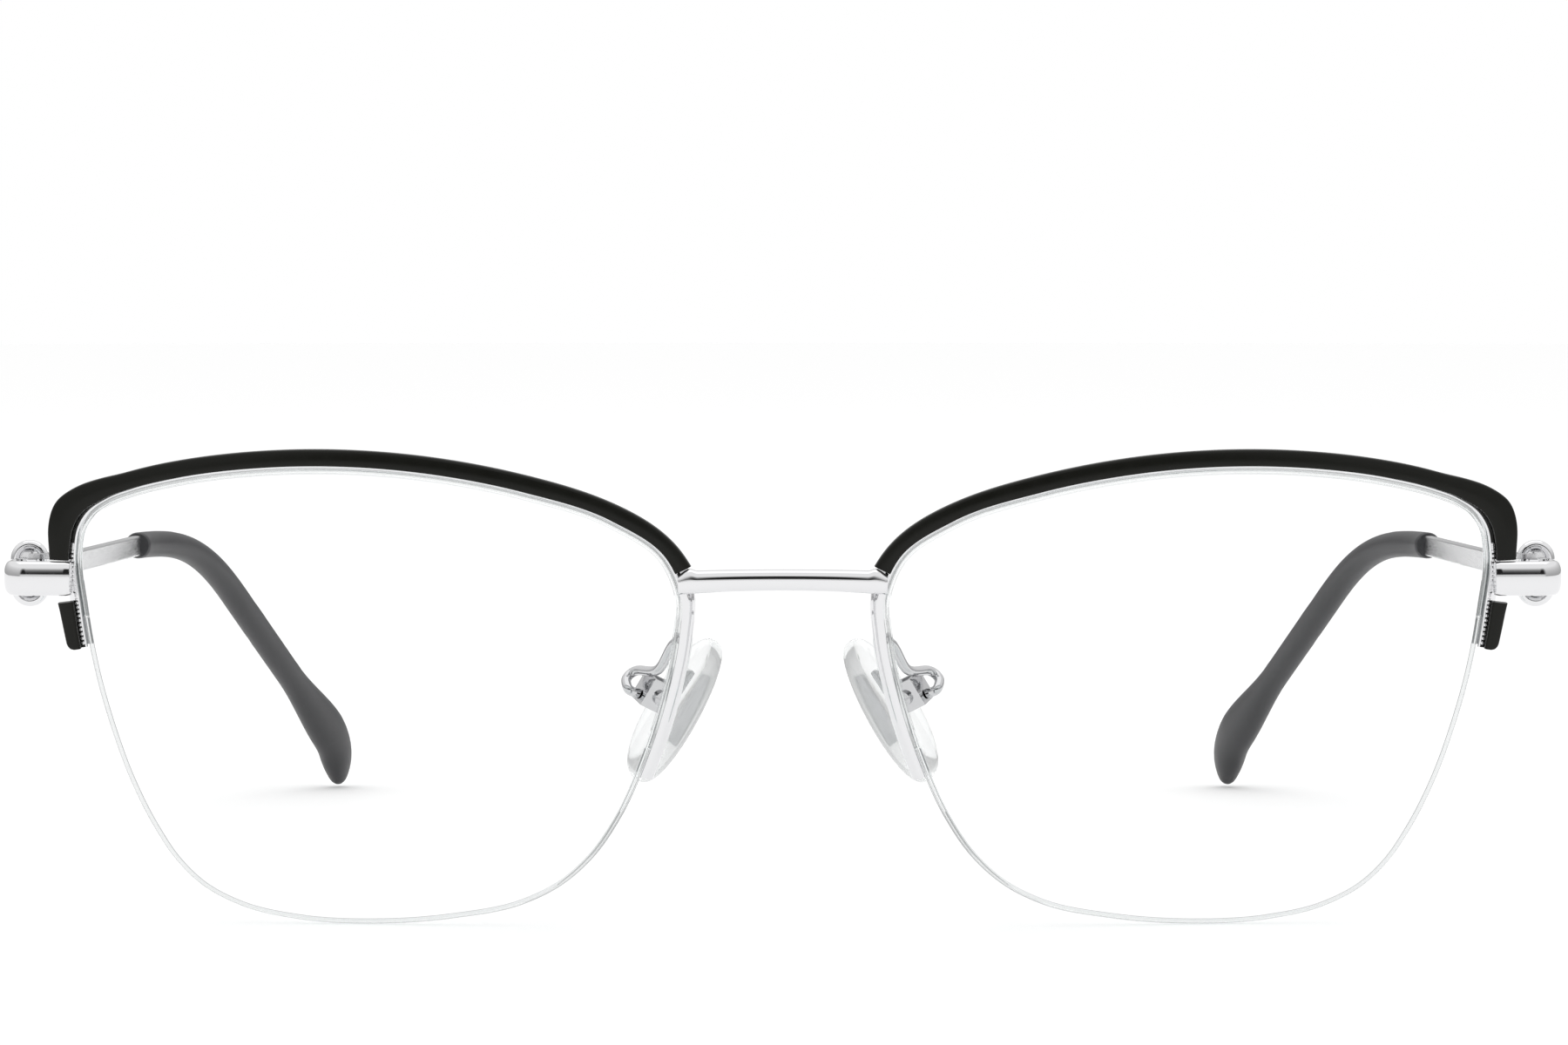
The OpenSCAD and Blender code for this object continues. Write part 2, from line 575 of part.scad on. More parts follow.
module pad_arm() {
    last = len(pad_arm_knots) - 1;
    color(steel) skin([for (f = stations(24)) wire_ring(pad_arm_knots, f * last, pad_wire_d / 2, 8)]);
}

// The origin lies under the middle of the glasses, halfway from the bridge's front to the tips' back
front_y = bridge_seat.y - bridge_lift - bridge_t - bridge_bow;
back_y = max([for (i = [tip_steps - 4 : tip_steps], p = tip_ring(i)) p.y]);
module placed() {
    translate([0, -(front_y + back_y) / 2, 0]) children();
}
module mirrored() {
    mirror([1, 0, 0]) placed() children();
}

placed() bridge();

placed() lens();  // left_lens
placed() lens_cord();  // left_lens_cord
placed() lens_liner();  // left_lens_liner
placed() rim();  // left_rim
placed() brow_bar();  // left_brow_bar
placed() brow_end();  // left_brow_end
placed() end_piece();  // left_end_piece
placed() front_hinge_leaf();  // left_front_hinge_leaf
placed() hinge_screw();  // left_hinge_screw
placed() pad_arm();  // left_pad_arm
placed() pad_box();  // left_pad_box
placed() pad_screw();  // left_pad_screw
placed() pad_core();  // left_pad_core
placed() nose_pad();  // left_nose_pad
placed() temple_arm();  // left_temple_arm
placed() rear_hinge_leaf();  // left_rear_hinge_leaf
placed() temple_ring();  // left_temple_ring
placed() temple_tip();  // left_temple_tip

mirrored() lens();  // right_lens
mirrored() lens_cord();  // right_lens_cord
mirrored() lens_liner();  // right_lens_liner
mirrored() rim();  // right_rim
mirrored() brow_bar();  // right_brow_bar
mirrored() brow_end();  // right_brow_end
mirrored() end_piece();  // right_end_piece
mirrored() front_hinge_leaf();  // right_front_hinge_leaf
mirrored() hinge_screw();  // right_hinge_screw
mirrored() pad_arm();  // right_pad_arm
mirrored() pad_box();  // right_pad_box
mirrored() pad_screw();  // right_pad_screw
mirrored() pad_core();  // right_pad_core
mirrored() nose_pad();  // right_nose_pad
mirrored() temple_arm();  // right_temple_arm
mirrored() rear_hinge_leaf();  // right_rear_hinge_leaf
mirrored() temple_ring();  // right_temple_ring
mirrored() temple_tip();  // right_temple_tip
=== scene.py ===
"""Browline glasses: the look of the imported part, with its floor, light and camera."""
from math import cos, floor, pi, radians, sin, sqrt

import bmesh
import bpy
from mathutils import Matrix, Vector


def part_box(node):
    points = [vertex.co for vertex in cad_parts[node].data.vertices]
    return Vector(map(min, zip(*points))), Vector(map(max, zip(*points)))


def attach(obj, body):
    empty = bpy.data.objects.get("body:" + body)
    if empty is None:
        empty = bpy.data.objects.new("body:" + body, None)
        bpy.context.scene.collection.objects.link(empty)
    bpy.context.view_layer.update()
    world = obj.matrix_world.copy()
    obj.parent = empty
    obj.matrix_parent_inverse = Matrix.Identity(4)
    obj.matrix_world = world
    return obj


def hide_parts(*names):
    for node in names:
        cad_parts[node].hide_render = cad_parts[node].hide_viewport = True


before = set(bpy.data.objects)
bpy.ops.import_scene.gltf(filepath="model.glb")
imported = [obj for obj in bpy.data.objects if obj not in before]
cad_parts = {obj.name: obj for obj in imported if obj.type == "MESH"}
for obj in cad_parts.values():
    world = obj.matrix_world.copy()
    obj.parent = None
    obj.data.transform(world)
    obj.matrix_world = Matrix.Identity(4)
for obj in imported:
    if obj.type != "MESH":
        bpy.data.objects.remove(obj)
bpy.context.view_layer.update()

# The part's own measures, under the names that part.scad gives them: in mm and degrees, but
# BROW_PEAK counts knots and TIP_STEPS counts steps
LENS_W = 54
LENS_H = 41
LENS_GAP = 19.4
LENS_T = 2
LENS_R = 110
WRAP = 5
TILT = 7
RIM_DEPTH = 1.8
RIM_OUT = 1.4
RIM_LIP = 0.3
RIM_WALL = 0.35
RIM_OUTER_END = 4.9
RIM_INNER_END = 6.5
RIM_BEVEL = 0.5
CORD_R = 0.3
CORD_TUCK = 0.45
BROW_W = 1.5
BROW_CORNER = 1.4
BROW_T = 0.75
BROW_IN = 0.55
BROW_STEP = 0.28
BROW_PEAK = 29.5
BROW_GAP = 0.22
BRIDGE_H = 1.9
BRIDGE_T = 1.5
BRIDGE_BOW = 1
BRIDGE_RISE = 10.9
BRIDGE_FLARE = 0.18
BRIDGE_DROP = 0.32
BRIDGE_LIFT = 0.02
END_REACH = 6.2
END_H = 3.1
END_T = 1.5
CORNER_R = 1.3
HINGE_RISE = 10.9
HINGE_REACH = 5
ARM_LEN = 76.5
ARM_T = 0.9
ARM_CLOSE = 2.3
ARM_FALL = 1.2
RING_H = 6.1
RING_D = 0.9
RING_AT = 5.6
TAPER_LEN = 17
TIP_LEN = 66
TIP_STEPS = 34
TIP_D = 2.7
PADDLE_W = 5.2
PADDLE_T = 3.5
TIP_DROP = 33
TIP_LEAN = 18.5
BEND_AT = 3
BEND_LEN = 25.5
HOOK_LEN = 10
TIP_END_R = 0.6
PAD_L = 14.5
PAD_W = 8.6
PAD_T = 2.1
PAD_X = 9.9
PAD_BACK = 10.4
PAD_BELOW = 1.3
PAD_LEAN = 31
PAD_SPLAY = 28
PAD_WIRE_D = 0.9
CORE_UP = 0.6
BOSS_R = 1.05
BOSS_W = 1.4
BOSS_X = 2.6
BOX_WALL = 0.4
FIT = 0.05
SEAT_GAP = 0.03

# These measures differ from the part's: the arm is taller, and the paddle starts later and swells faster
ARM_H = 2.1
PADDLE_FROM = 21
PADDLE_SWELL = 13

# Laps, lifts and gaps where pieces meet, in mm, and the pad's pitch in degrees
BROW_LIFT = 0.03
BROW_LAP = 0.33
BRIDGE_LAP = 0.35
FOOT_OUT = 0.8
END_LIFT = 0.02
BUTT_GAP = 0.2
PAD_PITCH = 4

# The lens outline as shares of half its width and height, from the outer side down and round
OUTLINE = [
    (1.00, 0.62), (0.98, 0.36), (0.94, 0.08), (0.89, -0.155), (0.827, -0.388), (0.74, -0.62), (0.68, -0.74),
    (0.59, -0.855), (0.46, -0.94), (0.27, -0.99), (0.01, -1.0), (-0.25, -0.97), (-0.48, -0.905),
    (-0.60, -0.825), (-0.71, -0.695), (-0.80, -0.52), (-0.89, -0.25), (-0.955, 0.02), (-0.995, 0.29),
    (-1.0, 0.445), (-0.95, 0.61), (-0.78, 0.77), (-0.50, 0.895), (-0.21, 0.97), (0.08, 1.0),
    (0.37, 0.987), (0.667, 0.928), (0.82, 0.873), (0.90, 0.83), (0.956, 0.775), (0.988, 0.71)]
KNOTS = len(OUTLINE)
LOWEST_KNOT = 10
NOSE_KNOT = 19
V = Vector


def ease(f):
    g = min(1, max(0, f))
    return g * g * (3 - 2 * g)


def mix(a, b, f):
    return a + (b - a) * f


def steps(n):
    return [i / n for i in range(n + 1)]


def oval(n, a, b, power=1.0):
    """Points round an oval with half axes a and b; a power under 1 squares its corners."""
    out = []
    for j in range(n):
        t = 2 * pi * (j + 0.5) / n
        c, s = cos(t), sin(t)
        out.append((a * (1 if c > 0 else -1) * abs(c) ** power, b * (1 if s > 0 else -1) * abs(s) ** power))
    return out


def rounded(points, radius, n):
    """A polygon whose corners are rounded, each by at most the radius."""
    out = []
    for i, p in enumerate(points):
        p, a, b = V(p), V(points[i - 1]), V(points[(i + 1) % len(points)])
        ra = min(radius, (a - p).length * 0.45)
        rb = min(radius, (b - p).length * 0.45)
        pa, pb = p + (a - p).normalized() * ra, p + (b - p).normalized() * rb
        for k in range(n + 1):
            f = k / n
            q = pa * (1 - f) ** 2 + p * 2 * f * (1 - f) + pb * f * f
            out.append((q.x, q.y))
    return out


def spline(points, t):
    """A smooth curve through the points, at t steps along it."""
    n = len(points) - 1
    i = min(n - 1, int(t))
    f = t - i
    p0, p1, p2, p3 = points[max(0, i - 1)], points[i], points[i + 1], points[min(n, i + 2)]
    return 0.5 * (2 * p1 + (p2 - p0) * f + (2 * p0 - 5 * p1 + 4 * p2 - p3) * f * f
                  + (3 * p1 - p0 - 3 * p2 + p3) * f * f * f)


def across(p, u, v, section):
    """The section's points on the directions u and v through the point p."""
    return [p + u * q[0] + v * q[1] for q in section]


# The lens edge: a closed curve through the outline's knots, where s counts knots
def knot(i):
    x, z = OUTLINE[i % KNOTS]
    return V((x * LENS_W / 2, z * LENS_H / 2))


def chord(i):
    return (knot(i + 1) - knot(i)).length


def slope(i):
    a, b = chord(i - 1), chord(i)
    return ((knot(i + 1) - knot(i)) * a / b + (knot(i) - knot(i - 1)) * b / a) / (a + b)


def edge(s):
    i = floor(s)
    f = s - i
    g, c = 1 - f, chord(i)
    return (knot(i) * (1 + 2 * f) * g * g + slope(i) * c * f * g * g
            + knot(i + 1) * f * f * (3 - 2 * f) - slope(i + 1) * c * f * f * g)


def outward(s):
    d = (edge(s + 1e-3) - edge(s - 1e-3)).normalized()
    return V((-d.y, d.x))


def shell(p, h):
    """A point of the lens's plane moved to the shell h behind the front face, then turned and leaned."""
    y = LENS_R - sqrt((LENS_R - h) ** 2 - p.x ** 2 - p.y ** 2)
    w, t = radians(WRAP), radians(TILT)
    x, y = p.x * cos(w) - y * sin(w), p.x * sin(w) + y * cos(w)
    return V((x, y * cos(t) - p.y * sin(t), y * sin(t) + p.y * cos(t)))


LENS_MID = LENS_T / 2
LENS_Z = CORD_R - min(shell(edge(LOWEST_KNOT - 1.5 + i / 4), LENS_MID).z for i in range(13))
LENS_POS = V((LENS_GAP / 2 + LENS_W / 2 * cos(radians(WRAP)), 0, LENS_Z))


def at_edge(s, d, h):
    """The point d outwards from the lens edge, on the shell h behind the lens's front face."""
    return LENS_POS + shell(edge(s) + d * outward(s), h)


def edge_ring(s, section):
    return [at_edge(s, q[0], q[1]) for q in section]


def edge_at(rise, lo, hi):
    """Where between two knots the lens edge lies at a height over the lens centre."""
    first = shell(edge(lo), LENS_MID).z > rise
    halvings = 18
    for _ in range(halvings):
        mid = (lo + hi) / 2
        if (shell(edge(mid), LENS_MID).z > rise) == first:
            lo = mid
        else:
            hi = mid
    return (lo + hi) / 2


# Where the pieces round the lens meet
RIM_FRONT = LENS_MID - RIM_DEPTH / 2
RIM_BACK = LENS_MID + RIM_DEPTH / 2
CHANNEL_FRONT = RIM_FRONT + RIM_WALL
CHANNEL_BACK = RIM_BACK - RIM_WALL
CHANNEL_FLOOR = RIM_OUT - RIM_WALL
RIM_START = edge_at(-RIM_INNER_END, LOWEST_KNOT + 4, NOSE_KNOT - 1)
RIM_END = edge_at(RIM_OUTER_END, KNOTS, KNOTS + 3)
HINGE_S = edge_at(HINGE_RISE, KNOTS - 1, KNOTS + 2)
HINGE_Z = LENS_Z + HINGE_RISE
BRIDGE_S = edge_at(BRIDGE_RISE, NOSE_KNOT - 1, NOSE_KNOT + 2)
BRIDGE_Z = LENS_Z + BRIDGE_RISE
BRIDGE_SEAT = at_edge(BRIDGE_S, (RIM_LIP + RIM_OUT) / 2, RIM_FRONT)
BRIDGE_END_X = BRIDGE_SEAT.x + BRIDGE_LAP
BROW_SEAT = RIM_FRONT - BROW_LIFT
BROW_UPPER_END = edge_at(HINGE_RISE + END_H / 2 + BROW_GAP, KNOTS - 1, KNOTS + 2)
BROW_LOWER_START = edge_at(HINGE_RISE - END_H / 2 - BROW_GAP, KNOTS - 1, KNOTS + 2)
BROW_NOSE_START = edge_at(BRIDGE_RISE + BRIDGE_H / 2 - BROW_LAP, NOSE_KNOT - 0.5, NOSE_KNOT + 2)

# The end piece's bar, from its foot on the rim out to the leg that runs back to the hinge
END_FOOT = at_edge(HINGE_S, FOOT_OUT, RIM_FRONT)
END_FRONT_Y = END_FOOT.y - END_T / 2 - END_LIFT
END_OUT_X = END_FOOT.x + END_REACH
LEG_X = END_OUT_X - END_T / 2
LEG_INNER_X = END_OUT_X - END_T
HINGE_Y = END_FRONT_Y + HINGE_REACH
BUTT_Y = HINGE_Y - BUTT_GAP

# The arm's line, from the hinge to the tip
ARM_X0 = LEG_INNER_X + ARM_T / 2
ARM_DIR = V((-ARM_CLOSE, ARM_LEN, -ARM_FALL)).normalized()
ARM_SIDE = V((ARM_DIR.y, -ARM_DIR.x, 0)).normalized()
ARM_UP = ARM_SIDE.cross(ARM_DIR)
RING_INNER_H = RING_H - 2 * RING_D


def arm_centre(y):
    f = y / ARM_LEN
    return V((ARM_X0 - ARM_CLOSE * f, HINGE_Y + y, HINGE_Z - ARM_FALL * f))


def arm_half_h(y):
    """Half the arm's height: it swells to fill the ring, then thins towards the tip."""
    swell_before, swell_len, ring_reach = 4.2, 3.6, 0.6
    if y < RING_AT:
        return mix(END_H, RING_INNER_H, ease((y - RING_AT + swell_before) / swell_len)) / 2
    return mix(RING_INNER_H, ARM_H, ease((y - RING_AT - ring_reach) / TAPER_LEN)) / 2


# The tip's line bends down behind the ear and leans in, and ends TIP_END_R over the ground
TIP_SEG = TIP_LEN / TIP_STEPS
TIP_START = arm_centre(ARM_LEN + SEAT_GAP)


def tip_step(d):
    """The way from one point of the tip's line to the next, at d along the tip."""
    first_fall, first_lean, hook_fall, hook_lean = 1, 2, 26, 18
    lean_before, lean_len = 4, 11
    hook = ease((d - TIP_LEN + HOOK_LEN) / HOOK_LEN)
    fall = radians(first_fall + (TIP_DROP - first_fall) * ease((d - BEND_AT) / BEND_LEN) + hook_fall * hook)
    lean = radians(first_lean + (TIP_LEAN - first_lean) * ease((d + lean_before) / lean_len)
                   - hook_lean * hook)
    return TIP_SEG * V((-sin(lean) * cos(fall), cos(lean) * cos(fall), -sin(fall)))


def tip_line():
    points = [V((0, 0, 0))]
    for i in range(TIP_STEPS):
        points.append(points[-1] + tip_step((i + 0.5) * TIP_SEG))
    stretch = (TIP_START.z - TIP_END_R) / -points[-1].z
    return [TIP_START + V((p.x, p.y, p.z * stretch)) for p in points]


TIP_LINE = tip_line()


def tip_ring(t):
    """The tip's ring at step t of its line: the start, a neck, and the paddle with its rounded end."""
    neck_w, neck_from, neck_len, round_len, start_len = 3, 12, 20, 5, 0.5
    d = t * TIP_SEG
    ahead, behind = spline(TIP_LINE, min(TIP_STEPS, t + 0.5)), spline(TIP_LINE, max(0, t - 0.5))
    direction = (ahead - behind).normalized()
    side = direction.cross(V((0, 0, 1))).normalized()
    paddle = ease((d - TIP_LEN + PADDLE_FROM) / PADDLE_SWELL)
    half_w = mix(mix(TIP_D, neck_w, ease((d - neck_from) / neck_len)), PADDLE_W, paddle) / 2
    half_t = mix(TIP_D, PADDLE_T, paddle) / 2
    closing = max(0, (d - TIP_LEN + round_len) / (round_len + 0.01))
    r = sqrt(max(0, 1 - closing * closing))
    if d < start_len:
        r *= 1 - 0.1 * (1 - d / start_len)
    return across(spline(TIP_LINE, t), side, side.cross(direction), oval(40, r * half_t, r * half_w, 0.95))


# The pad's own frame has its outer face towards +X and its length along Z
PAD_POS = V((PAD_X, BRIDGE_SEAT.y + PAD_BACK, LENS_Z - PAD_BELOW))
PAD_TURN = (Matrix.Rotation(radians(PAD_PITCH), 3, "X") @ Matrix.Rotation(radians(-PAD_LEAN), 3, "Y")
            @ Matrix.Rotation(radians(-PAD_SPLAY), 3, "Z"))


def core_to_front(x, y, z):
    """A point of the pad core's frame, which lies CORE_UP above the pad's middle."""
    return PAD_POS + PAD_TURN @ V((x, y, z + CORE_UP))


# The frame's zero lies halfway from the bridge's front to the back of the tips
BRIDGE_FRONT_Y = BRIDGE_SEAT.y - BRIDGE_LIFT - BRIDGE_T - BRIDGE_BOW
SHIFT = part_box("bridge")[0].y * 1000 - BRIDGE_FRONT_Y


# Building meshes
def finish_mesh(bm, name, side, body, material, angle):
    """Turns a mesh in mm into a piece in metres, mirrored for the wearer's right."""
    for v in bm.verts:
        v.co = V((v.co.x * side, v.co.y + SHIFT, v.co.z)) / 1000
    bmesh.ops.recalc_face_normals(bm, faces=bm.faces)
    for f in bm.faces:
        f.smooth = True
    limit = radians(angle)
    for e in bm.edges:
        e.smooth = len(e.link_faces) == 2 and e.calc_face_angle(0) < limit
    mesh = bpy.data.meshes.new(name)
    bm.to_mesh(mesh)
    bm.free()
    mesh.materials.append(material)
    obj = bpy.data.objects.new(name, mesh)
    bpy.context.scene.collection.objects.link(obj)
    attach(obj, body)
    return obj


def join_rings(bm, rings):
    """Quads from each ring of points to the next."""
    made = [[bm.verts.new(p) for p in ring] for ring in rings]
    n = len(made[0])
    for a, b in zip(made, made[1:]):
        for j in range(n):
            bm.faces.new((a[j], a[(j + 1) % n], b[(j + 1) % n], b[j]))
    return made


def add_skin(bm, rings):
    """Quads between the rings, with a flat face on the first and the last."""
    made = join_rings(bm, rings)
    bm.faces.new(made[0])
    bm.faces.new(list(reversed(made[-1])))


def skin(rings, name, side, body, material, angle):
    bm = bmesh.new()
    add_skin(bm, rings)
    return finish_mesh(bm, name, side, body, material, angle)


# Materials
def node_material(name, color, metallic=0.0, rough=0.3, **more):
    mat = bpy.data.materials.new(name)
    mat.use_nodes = True
    bsdf = mat.node_tree.nodes["Principled BSDF"]
    bsdf.inputs["Base Color"].default_value = (*color, 1)
    bsdf.inputs["Metallic"].default_value = metallic
    bsdf.inputs["Roughness"].default_value = rough
    for key, value in more.items():
        bsdf.inputs[key.replace("_", " ")].default_value = value
    return mat, mat.node_tree, bsdf


def vary_rough(tree, bsdf, scale, low_rough, high_rough, stretch=(1, 1, 1), detail=4):
    """Fine wear: the roughness wanders a little over the surface."""
    coord = tree.nodes.new("ShaderNodeTexCoord")
    place = tree.nodes.new("ShaderNodeMapping")
    place.inputs["Scale"].default_value = stretch
    noise = tree.nodes.new("ShaderNodeTexNoise")
    noise.inputs["Scale"].default_value = scale
    noise.inputs["Detail"].default_value = detail
    spread = tree.nodes.new("ShaderNodeMapRange")
    spread.inputs["From Min"].default_value = 0.3
    spread.inputs["From Max"].default_value = 0.7
    spread.inputs["To Min"].default_value = low_rough
    spread.inputs["To Max"].default_value = high_rough
    tree.links.new(coord.outputs["Object"], place.inputs["Vector"])
    tree.links.new(place.outputs["Vector"], noise.inputs["Vector"])
    tree.links.new(noise.outputs["Fac"], spread.inputs["Value"])
    tree.links.new(spread.outputs["Result"], bsdf.inputs["Roughness"])
    return noise


def add_bump(tree, bsdf, source, strength, distance):
    bump = tree.nodes.new("ShaderNodeBump")
    bump.inputs["Strength"].default_value = strength
    bump.inputs["Distance"].default_value = distance
    tree.links.new(source.outputs["Fac"], bump.inputs["Height"])
    tree.links.new(bump.outputs["Normal"], bsdf.inputs["Normal"])


def ray_is(tree, *names):
    """1 for a ray of any of the named kinds, else 0."""
    path = tree.nodes.new("ShaderNodeLightPath")
    found = path.outputs[names[0]]
    for name in names[1:]:
        larger = tree.nodes.new("ShaderNodeMath")
        larger.operation = "MAXIMUM"
        tree.links.new(found, larger.inputs[0])
        tree.links.new(path.outputs[name], larger.inputs[1])
        found = larger.outputs["Value"]
    return found


def metal(name, color, low_rough, high_rough, scale=900, stretch=(1, 1, 1), bump=0.0):
    mat, tree, bsdf = node_material(name, color, metallic=1.0)
    noise = vary_rough(tree, bsdf, scale, low_rough, high_rough, stretch)
    if bump:
        add_bump(tree, bsdf, noise, bump, 0.00002)
    return mat


def black_enamel():
    mat, tree, bsdf = node_material("black_enamel_look", (0.0100, 0.0102, 0.0082), rough=0.22,
                                    Specular_IOR_Level=0.18)
    vary_rough(tree, bsdf, 700, 0.18, 0.27)
    return mat


def tip_plastic():
    mat, tree, bsdf = node_material("tip_plastic_look", (0.040, 0.040, 0.043), rough=0.4,
                                    Specular_IOR_Level=0.45)
    vary_rough(tree, bsdf, 60, 0.38, 0.46, detail=1)
    return mat


def clear_material(name, color, rough, ior, shadow):
    """A clear solid: light on its way to other pieces passes straight through it with only its tint."""
    mat, tree, bsdf = node_material(name, color, rough=rough, Transmission_Weight=1.0, IOR=ior)
    thin = tree.nodes.new("ShaderNodeBsdfTransparent")
    thin.inputs["Color"].default_value = (*shadow, 1)
    blend = tree.nodes.new("ShaderNodeMixShader")
    tree.links.new(ray_is(tree, "Is Shadow Ray", "Is Diffuse Ray", "Is Reflection Ray"), blend.inputs["Fac"])
    tree.links.new(bsdf.outputs["BSDF"], blend.inputs[1])
    tree.links.new(thin.outputs["BSDF"], blend.inputs[2])
    tree.links.new(blend.outputs["Shader"], tree.nodes["Material Output"].inputs["Surface"])
    return mat, tree, bsdf


def clear_lens():
    """The coating takes the shine off where the lens is seen straight on."""
    mat, _, bsdf = clear_material("lens_clear_look", (0.995, 0.998, 0.998), 0.0, 1.5, (0.97, 0.98, 0.98))
    bsdf.inputs["Specular Tint"].default_value = (0, 0, 0, 1)
    return mat


def clear_nylon():
    mat, tree, bsdf = clear_material("nylon_clear_look", (0.84, 0.85, 0.85), 0.08, 1.5, (0.88, 0.89, 0.89))
    vary_rough(tree, bsdf, 900, 0.05, 0.12)
    return mat


def pad_silicone():
    mat, tree, bsdf = clear_material("pad_silicone_look", (0.97, 0.98, 0.98), 0.1, 1.41, (0.9, 0.91, 0.91))
    bsdf.inputs["Alpha"].default_value = 0.85
    noise = vary_rough(tree, bsdf, 500, 0.06, 0.16)
    add_bump(tree, bsdf, noise, 0.05, 0.00003)
    return mat


SILVER = metal("polished_silver_look", (0.80, 0.80, 0.81), 0.03, 0.07)
SATIN = metal("temple_silver_look", (0.68, 0.68, 0.69), 0.16, 0.26, scale=300, stretch=(30, 1, 30),
              bump=0.03)
PAD_BAR = metal("pad_bar_look", (0.55, 0.55, 0.56), 0.1, 0.18)
PAD_FITTING = metal("pad_fitting_look", (0.62, 0.62, 0.63), 0.06, 0.14)
SCREW = metal("screw_steel_look", (0.60, 0.60, 0.61), 0.18, 0.32, scale=1500, bump=0.05)
ENAMEL = black_enamel()
PLASTIC = tip_plastic()
LENS = clear_lens()
NYLON = clear_nylon()
SILICONE = pad_silicone()


# The front's pieces
def make_bridge():
    """A bowed bar with a fillet beside each brow bar, lower where it laps over the rims."""
    count, arch, swell = 110, 0.2, 0.22
    fillet_at, fillet_half = 0.885, 0.07
    drop_from, drop_len, end_from, end_len = 0.93, 0.07, 0.985, 0.015
    rings = []
    for k in range(-count, count + 1):
        x = BRIDGE_END_X * k / count
        f = abs(k / count)
        fillet = BRIDGE_FLARE * ease(1 - abs(f - fillet_at) / fillet_half)
        top = BRIDGE_H / 2 + fillet - BRIDGE_DROP * ease((f - drop_from) / drop_len)
        bottom = BRIDGE_H / 2 * (1 + swell * f * f)
        y = BRIDGE_SEAT.y - BRIDGE_T / 2 - BRIDGE_LIFT - BRIDGE_BOW * (1 - f * f)
        z = BRIDGE_Z + arch * (1 - f * f)
        shrink = 1 - 0.06 * ease((f - end_from) / end_len)
        rings.append([V((x, y - q[0] * shrink, z + shrink * (q[1] * top if q[1] > 0 else q[1] * bottom)))
                      for q in oval(36, BRIDGE_T / 2, 1, 0.82)])
    obj = skin(rings, "bridge_bar", 1, "front", SILVER, 50)
    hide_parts("bridge")


def make_rim(side, word):
    """A channel that opens towards the lens, with a bevel along its outer front corner."""
    section = rounded([(RIM_OUT, RIM_FRONT + RIM_BEVEL), (RIM_OUT, RIM_BACK), (RIM_LIP, RIM_BACK),
                       (RIM_LIP, CHANNEL_BACK), (CHANNEL_FLOOR, CHANNEL_BACK), (CHANNEL_FLOOR, CHANNEL_FRONT),
                       (RIM_LIP, CHANNEL_FRONT), (RIM_LIP, RIM_FRONT),
                       (RIM_OUT - RIM_BEVEL, RIM_FRONT)], 0.12, 3)
    obj = skin([edge_ring(mix(RIM_START, RIM_END, f), section) for f in steps(220)],
               f"{word}_half_rim", side, "front", SILVER, 30)
    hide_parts(f"{word}_rim")


def make_beads(side, word):
    """The row of fine beads on the rim beside the end piece."""
    count, bead_r, gap, out, end_inset, sink = 26, 0.16, 1.6, 0.62, 0.03, 0.03
    bm = bmesh.new()
    start = edge_at(HINGE_RISE + END_H / 2 + gap, KNOTS - 1, KNOTS + 2)
    for i in range(count):
        s = mix(start, RIM_END - end_inset, (i + 0.5) / count)
        centre = at_edge(s, out, RIM_FRONT + sink)
        made = bmesh.ops.create_icosphere(bm, subdivisions=2, radius=bead_r)
        for v in made["verts"]:
            v.co = centre + v.co
    finish_mesh(bm, f"{word}_rim_beading", side, "front", SILVER, 60)


def brow_inner(s):
    """The brow line's inner edge: it steps outwards just before the peak."""
    step_len = 1.5
    return BROW_IN + BROW_STEP * ease((s - BROW_PEAK + step_len) / step_len)


def brow_outer(s):
    """The brow line's outer edge: it swells to a corner at its peak."""
    rise_len, fall_len = 2.5, 3.4
    if s < BROW_PEAK:
        swell = max(0, 1 - (BROW_PEAK - s) / rise_len) ** 1.5
    else:
        swell = 1 - ease((s - BROW_PEAK) / fall_len) ** 0.8
    return BROW_IN + BROW_W + BROW_CORNER * swell


def brow_section(inner, outer):
    """A flat bar on the rim's front, with a slight ridge along the middle of its face."""
    face = BROW_SEAT - BROW_T
    return rounded([(outer, BROW_SEAT), (inner, BROW_SEAT), (inner, face), ((inner + outer) / 2, face - 0.05),
                    (outer, face)], 0.24, 5)


def faired(rings, shares, rounds):
    """The rings with their outer side drawn into one smooth line; a share of 1 moves a point fully."""
    soft = [list(ring) for ring in rings]
    for _ in range(rounds):
        soft = [soft[0]] + [[(a + b * 2 + c) / 4 for a, b, c in zip(soft[i - 1], soft[i], soft[i + 1])]
                            for i in range(1, len(soft) - 1)] + [soft[-1]]
    return [[p.lerp(q, f) for p, q, f in zip(ring, other, share)]
            for ring, other, share in zip(rings, soft, shares)]


def make_brow_line(side, word):
    marks = [mix(BROW_NOSE_START, BROW_UPPER_END, f) for f in steps(220)]
    sections = [brow_section(brow_inner(s), brow_outer(s)) for s in marks]
    shares = [[ease((q[0] - brow_inner(s)) / (brow_outer(s) - brow_inner(s))) for q in section]
              for s, section in zip(marks, sections)]
    obj = skin(faired([edge_ring(s, section) for s, section in zip(marks, sections)], shares, 50),
               f"{word}_brow_line", side, "front", ENAMEL, 50)
    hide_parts(f"{word}_brow_bar")


